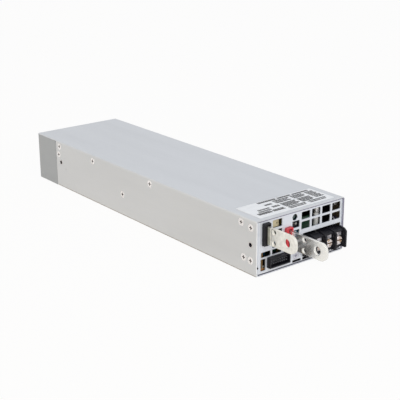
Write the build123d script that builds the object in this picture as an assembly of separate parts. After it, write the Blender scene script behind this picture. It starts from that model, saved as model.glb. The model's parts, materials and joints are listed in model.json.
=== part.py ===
from build123d import *

import math
import os

# An enclosed power supply, in millimetres. The origin is the centre of the base's underside, +Z is up,
# the front with its terminals faces -Y and the fans blow through the rear, at +Y.
# Places on the case are given from its left side (seen from the front), from its front or from its rear.

# Case
case_length = 300.0
case_width = 85.0
case_height = 41.0
cover_sheet = 0.8
chassis_sheet = 0.8
panel_sheet = 0.8
bracket_sheet = 0.8
bend_inside = 0.5
flap_length = 31.5
flap_corner = 3.0
seam_gap = 0.3
skirt_gap = 0.3
wall_top_gap = 0.6
notch_radius = 0.7
notch_heights = (24.7, 32.5)
dimple_from_front = 252.0
dimple_up = 17.5
dimple_radius = 1.1
dimple_depth = 0.3
edge_notch_radius = 0.6
edge_notch_up = 7.2
label_margin = 6.5
label_start = 3.5
label_depth = 26.5
label_thickness = 0.15
label_corner = 1.0

# Front panel
panel_lift = 0.7
panel_top_gap = 0.2
tab_length = 20.0
tab_low = 6.5
tab_top_gap = 1.2
tab_corner = 2.0
window_corner = 0.4
vent_width = 8.3
vent_bar = 1.6
vent_low = 25.5
vent_top_margin = 1.4
vent_right_margin = 4.0
vent_pitch_across = 10.12
control_to_vents = 1.5
vent_rows = 2
left_vent_left = 14.9
left_vent_width = 8.85
left_vent_rows = 3
low_vent_left = 4.5
low_vent_low = 13.3
low_vent_width = 8.8
low_vent_height = 3.9
low_vent_pitch = 10.3
low_vent_columns = 2
edge_vent_left = 4.2
edge_vent_low = 3.4
edge_vent_width = 4.6
edge_vent_height = 8.8
slot_width = 8.3
slot_height = 1.9
slot_low = 2.0
slot_right_margin = 3.5
slot_pitch = 9.7
slot_count = 5
lamp_across = 35.8
lamp_drop = 4.7
lamp_hole_radius = 2.4
control_left = 33.5
control_width = 6.9
lamp_bar = 0.5
selector_height = 5.2
control_bar = 1.7
trimmer_height = 6.7
panel_screw_offset = 0.7
nut_size = 5.8
panel_screw_up = 7.1

# Side screws and mounting holes. A low screw is given as distance from the front and height, a high one as
# distances from the front and the top, and a rear one as distances from the rear and the top.
screw_shank_radius = 1.45
screw_hole_radius = 1.5
screw_head_radius = 2.8
screw_head_depth = 1.3
screw_length = 5.0
recess_length = 2.9
recess_width = 0.75
recess_depth = 0.9
front_high_screws = ((6.0, 6.0), (16.3, 4.5))
sink_high_screws = ((125.5, 4.5), (208.0, 5.2))
rear_screws = ((37.5, 4.5), (36.0, 12.0))
front_low_screws = ((6.0, 10.8), (13.3, 11.3))
sink_low_screw = (164.0, 18.0)
mount_hole_radius = 2.2
mount_thread_radius = 1.65
mount_spigot_radius = 2.1
mount_insert_radius = 3.0
mount_insert_length = 3.0
mount_height = 22.5
mount_from_front = 6.2
mount_from_rear = 39.5

# Output blades and their collars
blade_thickness = 2.0
blade_height = 13.0
blade_corner = 5.4
blade_hole_radius = 3.2
blade_hole_from_tip = 8.8
small_hole_radius = 1.55
small_hole_from_tip = 21.5
small_hole_spacing = 8.0
small_hole_bevel = 0.4
root_step = 0.25
root_length = 4.7
blade_inside = 34.0
blade_foot = 7.0
negative_left = 8.8
collar_top_margin = 1.6
negative_reach = 29.5
positive_step_across = 21.0
collar_over_connector = 1.75
positive_reach = 37.5
collar_height = 16.3
collar_rise = 0.7
collar_left_wall = 3.35
collar_right_wall = 1.1
collar_reach = 1.9
collar_corner = 0.7
collar_clearance = 0.15
collar_flange = 0.5
collar_flange_depth = 2.0
collar_mouth_side = 1.0
collar_mouth_top = 1.35

# Terminal block
pole_count = 3
pole_pitch = 10.0
barrier_thickness = 1.4
block_right_gap = 3.5
block_end = 5.65
block_top = 19.2
block_top_slope = 0.6
block_ridge = 0.7
block_hood = 17.4
block_hood_reach = 5.1
block_face_reach = 3.3
block_barrier_reach = 7.4
barrier_corner = 0.5
block_inside = 4.0
block_clearance = 0.3
block_gap_above = 3.0
contact_width = 7.4
contact_thickness = 0.8
contact_low = 6.6
contact_top_gap = 0.3
contact_tail = 4.0
terminal_up = 11.2
terminal_bore_clearance = 0.2
washer_size = 6.4
washer_thickness = 0.7
washer_corner = 0.6
terminal_head_radius = 3.1
terminal_head_height = 1.7
terminal_head_round = 0.75
terminal_slot_width = 0.9
terminal_slot_depth = 0.8

# Signal connector
connector_left = 10.35
connector_width = 19.2
connector_height = 7.5
connector_reach = 3.2
connector_inside = 5.0
connector_wall = 0.9
connector_floor = 2.0
connector_clearance = 0.15
pin_size = 0.6
pin_pitch = 2.0
pin_columns = 8
pin_rows = 2
pin_setback = 1.2

# Lamp, trimmer and selector
lamp_radius = 1.5
lamp_dome_round = 1.4
lamp_rim_radius = 1.9
lamp_rim_thickness = 1.0
lamp_setback = 1.2
trimmer_body = 6.3
trimmer_setback = 0.8
trimmer_rotor_radius = 2.1
trimmer_rotor_height = 1.2
trimmer_rotor_proud = 0.4
trimmer_clearance = 0.05
driver_slot_width = 0.6
driver_slot_depth = 0.6
selector_width = 6.0
selector_body_height = 4.8
selector_setback = 1.0
selector_travel = 2.0
selector_clearance = 0.1
lever_size = 1.3
lever_proud = 0.7
lever_foot = 2.2
lever_foot_depth = 1.2
lever_skin = 0.9

# Boards
board_thickness = 1.6
board_low = 3.2
board_side_gap = 0.8
board_start = 1.6
board_rear_gap = 46.0
insulation_thickness = 0.3
standoff_radius = 3.0
board_screw_head_radius = 2.8
board_screw_head_height = 1.8
standoff_side_gap = 12.0
standoff_rows = (48.0, 146.0)
standoff_end_gap = 6.0
control_board_left = 6.2
control_board_setback = 0.8
control_board_thickness = 1.2
control_board_top = 19.0
control_board_length = 70.0
panel_board_setback = 6.0
panel_board_left = 33.0
panel_board_shoulder = 41.0
panel_board_right = 58.5
panel_board_drop = 10.0
panel_board_over_block = 1.4
panel_board_side_gap = 1.0
panel_board_above_lamp = 2.5

# Fans
fan_clearance = 0.7
fan_side_clearance = 2.6
fan_gap = 0.6
fan_depth = 28.0
fan_wall = 1.0
fan_corner = 3.0
fan_flange = 4.0
fan_waist_wall = 0.9
fan_hole_radius = 1.6
fan_hole_inset = 3.5
fan_strut_count = 4
fan_strut_width = 2.4
fan_strut_depth = 2.5
fan_base_radius = 10.0
hub_radius = 9.6
hub_wall = 1.2
hub_round = 1.2
hub_length = 19.0
hub_face_gap = 3.0
blade_count = 7
blade_tip_gap = 0.7
fan_blade_thickness = 1.1
fan_blade_chord = 12.9
blade_root_sink = 0.5
blade_overshoot = 1.5
fan_root_angle = 32.0
fan_tip_angle = 52.0
shaft_radius = 1.0
shaft_clearance = 0.04
shaft_setback = 1.5
shaft_face_gap = 0.2
bearing_setback = 1.0
tube_end_gap = 1.5
bearing_radius = 2.6
bearing_length = 2.4
tube_radius = 3.6
stator_radius = 7.6
stator_length = 9.0
stator_gap = 3.0
grille_ring_pitch = 3.6
grille_inner_radius = 4.4
grille_slot = 2.2
grille_spoke = 2.0
grille_spokes = 4
fan_screw_length = 8.0
fan_head_radius = 2.6
fan_head_height = 1.6
fan_head_bevel = 0.5

# Heatsinks and the parts on the main board, as distances from the front or the left side
sink_plate = 3.5
sink_low = 8.0
sink_top_gap = 1.2
sink_corner = 0.4
sink_fin_reach = 12.0
sink_fin_thickness = 1.2
sink_fin_pitch = 3.4
sink_fins = 3
left_sink_span = (108.0, 222.0)
right_sink_span = (108.0, 222.0)
transistor_width = 15.6
transistor_thickness = 4.8
transistor_pitch = 26.0
transistor_start = 18.0
transistor_lift = 1.5
transistor_fin_gap = 2.3
transistor_chamfer = 0.8
transistor_leg = 1.2
leg_pitch = 5.4
leg_setback = 2.0
transistors_per_sink = 4
bulk_radius = 14.5
bulk_length = 34.0
bulk_corner = 1.0
bulk_starts = (150.0, 188.0)
bulk_offset = 1.5
core_width = 36.0
core_length = 33.0
core_height = 30.0
core_limb = 7.0
core_start = 106.0
winding_wall = 5.0
winding_gap = 0.3
winding_corner = 2.0
choke_outer_radius = 15.0
choke_inner_radius = 7.5
choke_height = 13.0
choke_share = 0.718
choke_from_front = 82.0
wire_radius = 0.9
wire_clearance = 0.1
choke_turns = 16
wire_corner = 1.6
filter_outer_radius = 9.0
filter_inner_radius = 4.8
filter_height = 10.0
filter_share = 0.742
filter_from_front = 54.0
output_cap_radius = 5.0
output_cap_height = 20.0
output_cap_corner = 0.8
output_cap_shares = (0.235, 0.376)
output_cap_rows = (58.0, 70.0, 82.0)
output_choke_share = 0.541
output_choke_from_front = 60.0
output_choke_radius = 7.4
output_choke_height = 16.0
output_choke_flange = 2.5
output_choke_groove = 2.0
varistor_radius = 6.5
varistor_thickness = 4.6
varistor_round = 1.8
varistor_across = 19.0
varistor_from_front = 10.0
varistor_up = 21.5
varistor_lead_top = 4.5
lead_radius = 0.4
small_core_left = 33.0
small_core_start = 15.0
small_core_size = 13.0
small_core_top = 33.0
fuse_radius = 2.2
fuse_length = 20.0
fuse_cap = 5.0
fuse_cap_step = 0.2
fuse_from_right = 8.6
fuse_from_front = 20.0
fuse_up = 7.4
box_corner = 0.6
relay_size = (15.0, 18.0, 15.0)
relay_from_right = 18.5
relay_from_front = 24.0
film_size = (18.0, 9.0, 14.0)
film_from_right = 38.0
film_from_front = 34.0
liner_thickness = 0.4
liner_span = (22.0, 104.0)

# Values worked out from the sizes above
half_width = case_width / 2
front = -case_length / 2
rear = case_length / 2
wall_inside = cover_sheet + chassis_sheet
cover_under = case_height - cover_sheet
board_top = board_low + board_thickness
panel_low = chassis_sheet + panel_lift
panel_top = cover_under - panel_top_gap
panel_width = case_width - 2 * wall_inside
panel_back = panel_sheet
rear_wall = case_length - bracket_sheet
board_end = case_length - board_rear_gap
panel_board_start = panel_back + panel_board_setback
connector_top = board_top + connector_height
negative_centre = panel_top - collar_top_margin - collar_height / 2 - collar_rise
positive_left = negative_left + positive_step_across
positive_centre = connector_top + collar_over_connector + collar_height / 2 - collar_rise
vent_height = (panel_top - vent_top_margin - vent_low - (vent_rows - 1) * vent_bar) / vent_rows
vent_pitch_up = vent_height + vent_bar
lamp_up = case_height - lamp_drop
selector_low = lamp_up - lamp_hole_radius - lamp_bar - selector_height
trimmer_low = selector_low - control_bar - trimmer_height
panel_board_top = case_height - panel_board_drop
panel_board_lamp_top = lamp_up + panel_board_above_lamp
fan_room_up = cover_under - chassis_sheet - 2 * fan_clearance
fan_room_across = (panel_width - fan_gap - 2 * fan_side_clearance) / 2
fan_size = min(fan_room_up, fan_room_across)
fan_duct_radius = fan_size / 2 - fan_wall
fan_hole_spacing = fan_size - 2 * fan_hole_inset
block_low = board_top
block_right = case_width - block_right_gap
core_across = half_width
bulk_across = half_width + bulk_offset
choke_across = choke_share * case_width
filter_across = filter_share * case_width
output_choke_across = output_choke_share * case_width
fuse_across = case_width - fuse_from_right
relay_left = case_width - relay_from_right
film_left = case_width - film_from_right
block_left = block_right - pole_count * pole_pitch - barrier_thickness - block_end
control_right = control_left + control_width
lowest_fin = panel_top - sink_top_gap - sink_fin_thickness - (sink_fins - 1) * sink_fin_pitch
transistor_low = sink_low + transistor_lift
transistor_height = lowest_fin - transistor_fin_gap - transistor_low
grille_room = fan_duct_radius - grille_inner_radius + grille_ring_pitch - grille_slot
grille_rings = int(grille_room // grille_ring_pitch)
vent_room = case_width - vent_right_margin - control_right - control_to_vents
vent_columns = int((vent_room + vent_pitch_across - vent_width) // vent_pitch_across)
slot_left = case_width - slot_right_margin - slot_width - (slot_count - 1) * slot_pitch
connector_right = connector_left + connector_width
panel_screw_across = (connector_right + block_left) / 2 + panel_screw_offset


def from_left(distance):
    """X of a place given from the case's left side, as seen from the front."""
    return distance - half_width


def from_front(distance):
    """Y of a place given from the front face, positive towards the rear."""
    return front + distance


def block(across, depth, height):
    """A block between distances from the left side, from the front face and above the base."""
    size = [span[1] - span[0] for span in (across, depth, height)]
    middle = (from_left(sum(across) / 2), from_front(sum(depth) / 2), sum(height) / 2)
    return Pos(*middle) * Box(*size)


def rearward(outline, start, length):
    """Extrudes an outline drawn in X and Z towards the rear, from a distance behind the front face."""
    return extrude(Plane.XZ.offset(-from_front(start)) * outline, amount=-length)


def rightward(outline, start, thickness):
    """Extrudes an outline drawn in Y and Z to the right, from a distance from the left side."""
    return extrude(Plane.YZ.offset(from_left(start)) * outline, amount=thickness)


def upright(radius, across, depth, low, height):
    """A round post standing at a place on the board or the base."""
    return Pos(from_left(across), from_front(depth), low + height / 2) * Cylinder(radius, height)


def lengthways(radius, across, up, start, length):
    """A round bar along the case's length."""
    place = Pos(from_left(across), from_front(start + length / 2), up)
    return place * Rot(90, 0, 0) * Cylinder(radius, length)


def crossways(radius, start, length, depth, up):
    """A round bar across the case's width, starting at a distance from the left side."""
    place = Pos(from_left(start + length / 2), from_front(depth), up)
    return place * Rot(0, 90, 0) * Cylinder(radius, length)


def group(pieces):
    """Several separate solids as one shape."""
    return Compound(children=list(pieces))


def both_sides(pieces):
    """The pieces on the left side, and their mirror images on the right."""
    pieces = list(pieces)
    return group(pieces + [mirror(piece, about=Plane.YZ) for piece in pieces])


def folded_channel(width, height, sheet):
    """The section of a channel folded from sheet: its base along X, its walls rising."""
    outer = Pos(0, height / 2) * Rectangle(width, height)
    outer = fillet(outer.vertices().sort_by(Axis.Y)[:2], bend_inside + sheet)
    inner = Pos(0, sheet + height / 2) * Rectangle(width - 2 * sheet, height)
    inner = fillet(inner.vertices().sort_by(Axis.Y)[:2], bend_inside)
    return outer - inner


def window(left, low, width, height, corner=window_corner):
    """A rounded rectangle on the front panel, placed by its left and lower edges."""
    return Pos(from_left(left) + width / 2, low + height / 2) * RectangleRounded(width, height, corner)


def window_grid(left, low, width, height, columns, rows, step_across, step_up):
    """Equal windows in columns and rows."""
    return [
        window(left + column * step_across, low + row * step_up, width, height)
        for column in range(columns)
        for row in range(rows)
    ]


def screw_places():
    """Distance from the front and height of every side screw."""
    low = [*front_low_screws, sink_low_screw]
    high = [(depth, case_height - drop) for depth, drop in (*front_high_screws, *sink_high_screws)]
    back = [(case_length - gap, case_height - drop) for gap, drop in rear_screws]
    return low + high + back


def mount_places():
    """Distance from the front of each side mounting hole."""
    return (mount_from_front, case_length - mount_from_rear)


def side_cuts():
    """Countersinks and mounting holes through the case's side walls."""
    sink = Cone(screw_head_radius, screw_hole_radius, screw_head_depth)
    cuts = []
    for depth, up in screw_places():
        place = Pos(-half_width + screw_head_depth / 2, from_front(depth), up) * Rot(0, 90, 0)
        cuts.append(place * sink)
        cuts.append(crossways(screw_hole_radius, -1, wall_inside + screw_length, depth, up))
    for depth in mount_places():
        cuts.append(crossways(mount_hole_radius, -1, cover_sheet + 1, depth, mount_height))
        cuts.append(crossways(mount_spigot_radius, 0, wall_inside + mount_insert_length, depth, mount_height))
    return both_sides(cuts)


def make_chassis():
    """The tub: a base and two side walls folded from one sheet."""
    width = case_width - 2 * cover_sheet
    section = folded_channel(width, cover_under - wall_top_gap, chassis_sheet)
    tub = rearward(section, 0, rear_wall - bend_inside)
    holes = [upright(screw_hole_radius, *place, -1, 3) for place in standoff_places()]
    notch = crossways(edge_notch_radius, 0, wall_inside + 1, 0, edge_notch_up)
    return tub - side_cuts() - holes - both_sides([notch])


def make_cover():
    """The top with its two side skirts, cut short at the rear for the bracket's flaps."""
    channel = folded_channel(case_width, case_height, cover_sheet)
    section = Pos(0, case_height) * mirror(channel, about=Plane.XZ)
    lid = rearward(section, 0, case_length)
    side = (-1, case_width + 1)
    lid -= block(side, (case_length - flap_length - seam_gap, case_length + 1), (-1, cover_under))
    lid -= block(side, (-1, case_length), (-1, skirt_gap))
    dimple = crossways(dimple_radius, -1, 1 + dimple_depth, dimple_from_front, dimple_up)
    return lid - side_cuts() - both_sides([dimple])


def collar_window(left, centre, clearance):
    """The outline of a blade's collar where it passes through the panel."""
    width = collar_left_wall + blade_thickness + collar_right_wall
    grown = 2 * clearance
    return window(
        left - collar_left_wall - clearance,
        centre + collar_rise - collar_height / 2 - clearance,
        width + grown,
        collar_height + grown,
        collar_corner,
    )


def panel_windows():
    """Every opening in the front panel."""
    vent_left = case_width - vent_right_margin - vent_width - (vent_columns - 1) * vent_pitch_across
    left_low = vent_low - (left_vent_rows - vent_rows) * vent_pitch_up
    vent = (vent_width, vent_height)
    step = (vent_pitch_across, vent_pitch_up)
    windows = window_grid(vent_left, vent_low, *vent, vent_columns, vent_rows, *step)
    left_vent = (left_vent_width, vent_height)
    windows += window_grid(left_vent_left, left_low, *left_vent, 1, left_vent_rows, *step)
    low_vent = (low_vent_width, low_vent_height)
    windows += window_grid(low_vent_left, low_vent_low, *low_vent, low_vent_columns, 1, low_vent_pitch, 0)
    windows += window_grid(slot_left, slot_low, slot_width, slot_height, slot_count, 1, slot_pitch, 0)
    windows.append(window(edge_vent_left, edge_vent_low, edge_vent_width, edge_vent_height))
    windows.append(window(control_left, selector_low, control_width, selector_height))
    windows.append(window(control_left, trimmer_low, control_width, trimmer_height))
    windows.append(Pos(from_left(lamp_across), lamp_up) * Circle(lamp_hole_radius))
    windows.append(Pos(from_left(panel_screw_across), panel_screw_up) * Circle(screw_hole_radius))
    windows.append(collar_window(negative_left, negative_centre, collar_clearance))
    windows.append(collar_window(positive_left, positive_centre, collar_clearance))
    windows.append(
        window(
            connector_left - connector_clearance,
            board_top - connector_clearance,
            connector_width + 2 * connector_clearance,
            connector_height + 2 * connector_clearance,
        )
    )
    windows.append(
        window(
            block_left - block_clearance,
            block_low - block_clearance,
            block_right - block_left + 2 * block_clearance,
            block_top - block_low + block_clearance + block_gap_above,
        )
    )
    return windows


def make_front_panel():
    """The pierced front plate with a tab folded back along each side wall."""
    plan = Pos(0, front) * folded_channel(panel_width, tab_length, panel_sheet)
    panel = Pos(0, 0, panel_low) * extrude(plan, amount=panel_top - panel_low)
    for cut in (tab_outline_cut(-1, tab_low), tab_outline_cut(panel_top - tab_top_gap, case_height)):
        panel -= cut
    corners = panel.edges().filter_by(Axis.X).filter_by_position(Axis.Y, front + tab_length - 0.1, rear)
    panel = fillet(corners, tab_corner)
    for opening in panel_windows():
        panel -= rearward(opening, -1, panel_sheet + 1.5)
    head = Cone(screw_head_radius, screw_hole_radius, screw_head_depth)
    place = (from_left(panel_screw_across), from_front(screw_head_depth / 2), panel_screw_up)
    panel -= Pos(*place) * Rot(-90, 0, 0) * head
    return panel - side_cuts()


def tab_outline_cut(low, high):
    """What is cut from the panel's folded tabs above or below a height, behind the plate."""
    start = panel_sheet + bend_inside
    return block((0, case_width), (start, tab_length + 1), (low, high))


def grille_slots(middle):
    """Ring slots of one fan's grille, parted by spokes."""
    rings = Sketch()
    for ring in range(grille_rings):
        inside = grille_inner_radius + ring * grille_ring_pitch
        rings += Circle(inside + grille_slot) - Circle(inside)
    reach = 2 * fan_duct_radius
    for spoke in range(grille_spokes // 2):
        angle = 45 + spoke * 360 / grille_spokes
        rings -= Rot(0, 0, angle) * Rectangle(reach, grille_spoke)
    return Pos(middle, fan_height()) * rings


def fan_middles():
    """X of the two fans' centres."""
    offset = (fan_size + fan_gap) / 2
    return (-offset, offset)


def fan_height():
    """Height of the fans' centres, midway between the base and the cover."""
    return (chassis_sheet + cover_under) / 2


def fan_corners(middle):
    """X and Z of one fan's four screw holes."""
    half = fan_hole_spacing / 2
    return [(middle + x * half, fan_height() + z * half) for x in (-1, 1) for z in (-1, 1)]


def make_rear_bracket():
    """The rear wall with two punched grilles, and a flap folded forward along each side."""
    plan = Pos(0, rear) * mirror(folded_channel(case_width, flap_length, bracket_sheet), about=Plane.XZ)
    bracket = extrude(plan, amount=cover_under)
    flaps = (rear - flap_length - 0.1, rear - flap_length / 2)
    corners = bracket.edges().filter_by(Axis.X).filter_by_position(Axis.Y, *flaps)
    bracket = fillet(corners.sort_by(Axis.Z)[-2:], flap_corner)
    flap_edge = case_length - flap_length
    for up in notch_heights:
        bracket -= crossways(notch_radius, -1, case_width + 2, flap_edge, up)
    for middle in fan_middles():
        bracket -= rearward(grille_slots(middle), rear_wall - 1, bracket_sheet + 2)
        for x, z in fan_corners(middle):
            bracket -= lengthways(fan_hole_radius, x + half_width, z, rear_wall - 1, bracket_sheet + 2)
    return bracket


def make_label_plate():
    """A thin bare plate on the cover behind its front edge."""
    width = case_width - 2 * label_margin
    outline = RectangleRounded(width, label_depth, label_corner)
    plate = Pos(0, from_front(label_start + label_depth / 2)) * outline
    return Pos(0, 0, case_height) * extrude(plate, amount=label_thickness)


def cross_outline():
    """The outline of a screw's cross recess."""
    return Rectangle(recess_length, recess_width) + Rectangle(recess_width, recess_length)


def make_side_screws():
    """Countersunk screws through the case's sides."""
    screws = []
    for depth, up in screw_places():
        head = Pos(-half_width + screw_head_depth / 2, from_front(depth), up) * Rot(0, 90, 0)
        head *= Cone(screw_head_radius, screw_shank_radius, screw_head_depth)
        shank = crossways(screw_shank_radius, screw_head_depth, screw_length - screw_head_depth, depth, up)
        cross = Pos(from_front(depth), up) * cross_outline()
        screws.append(head + shank - rightward(cross, -1, 1 + recess_depth))
    return both_sides(screws)


def make_mounting_inserts():
    """Threaded inserts inside the side walls, with spigots that reach out to the cover's face."""
    inserts = []
    for depth in mount_places():
        seat = wall_inside + (panel_sheet if depth < tab_length else 0)
        body = crossways(mount_insert_radius, seat, mount_insert_length, depth, mount_height)
        body += crossways(mount_spigot_radius, 0, seat, depth, mount_height)
        length = seat + mount_insert_length
        inserts.append(body - crossways(mount_thread_radius, 0, length, depth, mount_height))
    return both_sides(inserts)


def blade_outline(centre, reach):
    """Side view of a blade: a rounded tongue in front, and a web that stands on the main board behind."""
    tip = front - reach
    low = centre - blade_height / 2
    high = centre + blade_height / 2
    inside = from_front(collar_flange_depth + panel_sheet)
    end = from_front(blade_inside)
    foot = end - blade_foot
    outline = make_face(
        Polyline(
            (tip, low),
            (inside, low),
            (foot, low),
            (foot, board_top),
            (end, board_top),
            (end, high),
            (tip, high),
            close=True,
        )
    )
    outline = fillet(outline.vertices().sort_by(Axis.X)[:2], blade_corner)
    outline -= Pos(tip + blade_hole_from_tip, centre) * Circle(blade_hole_radius)
    for side in (-0.5, 0.5):
        place = Pos(tip + small_hole_from_tip, centre + side * small_hole_spacing)
        outline -= place * Circle(small_hole_radius)
    return outline


def make_blade(left, centre, reach):
    """A stamped output blade with its coined root and bevelled small holes."""
    blade = rightward(blade_outline(centre, reach), left, blade_thickness)
    for side in (-0.5, 0.5):
        depth = small_hole_from_tip - reach
        up = centre + side * small_hole_spacing
        wide = small_hole_radius + small_hole_bevel
        for start, turn in ((left, 90), (left + blade_thickness - small_hole_bevel, -90)):
            place = Pos(from_left(start + small_hole_bevel / 2), from_front(depth), up)
            blade -= place * Rot(0, turn, 0) * Cone(wide, small_hole_radius, small_hole_bevel)
    root = (left - root_step, left + blade_thickness)
    height = (centre - blade_height / 2, centre + blade_height / 2)
    blade += block(root, (-root_length, -collar_reach), height)
    return blade


def make_collar(left, centre):
    """An insulating collar round a blade, with a wide mouth in front and a flange behind the panel."""
    body = rearward(collar_window(left, centre, 0), -collar_reach, collar_reach + panel_sheet)
    flange = rearward(collar_window(left, centre, collar_flange), panel_sheet, collar_flange_depth)
    low = centre - blade_height / 2 - collar_clearance
    high = centre + blade_height / 2
    right = left + blade_thickness + collar_clearance
    slot_depth = (-collar_reach - 1, panel_sheet + collar_flange_depth + 1)
    slot = block((left - collar_clearance, right), slot_depth, (low, high + collar_clearance))
    mouth = block((left - collar_mouth_side, right), (-collar_reach - 1, 0), (low, high + collar_mouth_top))
    return body + flange - slot - mouth


def pole_middles():
    """Distance of each pole's middle from the left side."""
    first = block_left + block_end + (barrier_thickness + pole_pitch) / 2
    return [first + pole * pole_pitch for pole in range(pole_count)]


def make_terminal_block():
    """The moulded three-pole block with its hood and barriers."""
    body = make_face(
        Polyline(
            (from_front(block_inside), block_low),
            (from_front(-block_face_reach), block_low),
            (from_front(-block_face_reach), block_hood),
            (from_front(-block_hood_reach), block_hood),
            (from_front(-block_hood_reach), block_top - block_top_slope),
            (from_front(0), block_top),
            (from_front(block_inside), block_top),
            close=True,
        )
    )
    barrier = make_face(
        Polyline(
            (from_front(0), block_low),
            (from_front(-block_barrier_reach), block_low),
            (from_front(-block_barrier_reach), block_hood),
            (from_front(-block_hood_reach), block_top - block_top_slope + block_ridge),
            (from_front(0), block_top + block_ridge),
            close=True,
        )
    )
    barrier = fillet(barrier.vertices().sort_by(Axis.X)[:2], barrier_corner)
    moulding = rightward(body, block_left, block_right - block_left)
    for edge in range(pole_count + 1):
        moulding += rightward(barrier, block_left + block_end + edge * pole_pitch, barrier_thickness)
    for middle in pole_middles():
        moulding -= block(contact_span(middle), contact_depths(), (contact_low, block_hood))
        bore = screw_shank_radius + terminal_bore_clearance
        moulding -= lengthways(bore, middle, terminal_up, -block_face_reach, block_face_reach + contact_tail)
    return moulding


def contact_span(middle):
    """Left and right edges of a contact plate."""
    return (middle - contact_width / 2, middle + contact_width / 2)


def contact_depths():
    """Front and back of the contact plates, let into the block's face."""
    return (-block_face_reach, -block_face_reach + contact_thickness)


def make_contact_plates():
    """Tinned plates let into the face of the terminal block, one a pole."""
    plates = []
    for middle in pole_middles():
        plate = block(contact_span(middle), contact_depths(), (contact_low, block_hood - contact_top_gap))
        start = -block_face_reach - 1
        hole = lengthways(screw_hole_radius, middle, terminal_up, start, contact_thickness + 2)
        plates.append(plate - hole)
    return group(plates)


def make_terminal_washers():
    """Square clamping washers under the terminal screws."""
    washers = []
    for middle in pole_middles():
        outline = RectangleRounded(washer_size, washer_size, washer_corner) - Circle(screw_hole_radius)
        outline = Pos(from_left(middle), terminal_up) * outline
        washers.append(rearward(outline, -block_face_reach - washer_thickness, washer_thickness))
    return group(washers)


def make_terminal_screws():
    """Pan-head screws that clamp the mains wires."""
    screws = []
    seat = -block_face_reach - washer_thickness
    for middle in pole_middles():
        start = seat - terminal_head_height
        head = lengthways(terminal_head_radius, middle, terminal_up, start, terminal_head_height)
        rim = head.edges().sort_by(Axis.Y)[0]
        head = fillet(rim, terminal_head_round)
        reach = (middle - terminal_head_radius, middle + terminal_head_radius)
        half = terminal_slot_width / 2
        slot_end = seat - terminal_head_height + terminal_slot_depth
        head -= block(reach, (slot_end - 2, slot_end), (terminal_up - half, terminal_up + half))
        head += lengthways(screw_shank_radius, middle, terminal_up, seat, contact_tail - seat)
        screws.append(head)
    return group(screws)


def make_connector():
    """The signal header's open-fronted shroud."""
    low = board_top
    right = connector_left + connector_width
    depth = (-connector_reach, connector_inside)
    shroud = block((connector_left, right), depth, (low, low + connector_height))
    cavity = block(
        (connector_left + connector_wall, right - connector_wall),
        (-connector_reach - 1, connector_inside - connector_floor),
        (low + connector_wall, low + connector_height - connector_wall),
    )
    return shroud - cavity


def make_pins():
    """The signal header's contact pins, in two rows."""
    pins = []
    middle = connector_left + connector_width / 2
    centre = board_top + connector_height / 2
    half = pin_size / 2
    for column in range(pin_columns):
        for row in range(pin_rows):
            across = middle + (column - (pin_columns - 1) / 2) * pin_pitch
            up = centre + (row - (pin_rows - 1) / 2) * pin_pitch
            depth = (pin_setback - connector_reach, connector_inside - connector_floor)
            pins.append(block((across - half, across + half), depth, (up - half, up + half)))
    return group(pins)


def make_lamp():
    """The status lamp, with its dome just behind its hole."""
    start = panel_back + lamp_setback
    rim_start = panel_board_start - lamp_rim_thickness
    dome = lengthways(lamp_radius, lamp_across, lamp_up, start, rim_start - start)
    dome = fillet(dome.edges().sort_by(Axis.Y)[0], lamp_dome_round)
    return dome + lengthways(lamp_rim_radius, lamp_across, lamp_up, rim_start, lamp_rim_thickness)


def trimmer_centre():
    """Distance from the left and height of the trimmer's axis, in the middle of its window."""
    return (control_left + control_width / 2, trimmer_low + trimmer_height / 2)


def make_trimmer_body():
    """The trimmer's square body with a round pocket for its rotor."""
    across, up = trimmer_centre()
    half = trimmer_body / 2
    start = panel_back + trimmer_setback
    body = block((across - half, across + half), (start, panel_board_start), (up - half, up + half))
    depth = trimmer_rotor_height - trimmer_rotor_proud
    return body - lengthways(trimmer_rotor_radius + trimmer_clearance, across, up, start, depth)


def make_trimmer_rotor():
    """The trimmer's slotted rotor."""
    across, up = trimmer_centre()
    start = panel_back + trimmer_setback - trimmer_rotor_proud
    height = trimmer_rotor_height - trimmer_clearance
    rotor = lengthways(trimmer_rotor_radius, across, up, start, height)
    half = driver_slot_width / 2
    reach = (across - trimmer_rotor_radius, across + trimmer_rotor_radius)
    return rotor - block(reach, (start - 1, start + driver_slot_depth), (up - half, up + half))


def selector_centre():
    """Distance from the left and height of the selector's middle."""
    return (control_left + control_width / 2, selector_low + selector_height / 2)


def make_selector_body():
    """The selector's housing: a slot for the lever and a chamber behind it for the lever's foot."""
    across, up = selector_centre()
    start = panel_back + selector_setback
    wide = selector_width / 2
    tall = selector_body_height / 2
    body = block((across - wide, across + wide), (start, panel_board_start), (up - tall, up + tall))
    slot = (lever_size + selector_travel) / 2 + selector_clearance
    slot_tall = lever_size / 2 + selector_clearance
    skin = (start - 1, start + lever_skin)
    body -= block((across - slot, across + slot), skin, (up - slot_tall, up + slot_tall))
    room = (lever_foot + selector_travel) / 2 + selector_clearance
    room_tall = lever_foot / 2 + selector_clearance
    depth = (start + lever_skin, start + lever_skin + lever_foot_depth + 2 * selector_clearance)
    return body - block((across - room, across + room), depth, (up - room_tall, up + room_tall))


def make_selector_lever():
    """The selector's lever with the foot that keeps it in its housing, at the right end of its travel."""
    across, up = selector_centre()
    across += selector_travel / 2
    start = panel_back + selector_setback
    half = lever_size / 2
    foot = lever_foot / 2
    foot_start = start + lever_skin + selector_clearance
    lever = block((across - half, across + half), (start - lever_proud, foot_start), (up - half, up + half))
    depth = (foot_start, foot_start + lever_foot_depth)
    return lever + block((across - foot, across + foot), depth, (up - foot, up + foot))


def standoff_places():
    """Distance from the left and from the front of each standoff."""
    rows = (*standoff_rows, board_end - standoff_end_gap)
    columns = (standoff_side_gap, case_width - standoff_side_gap)
    return [(across, depth) for across in columns for depth in rows]


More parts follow.
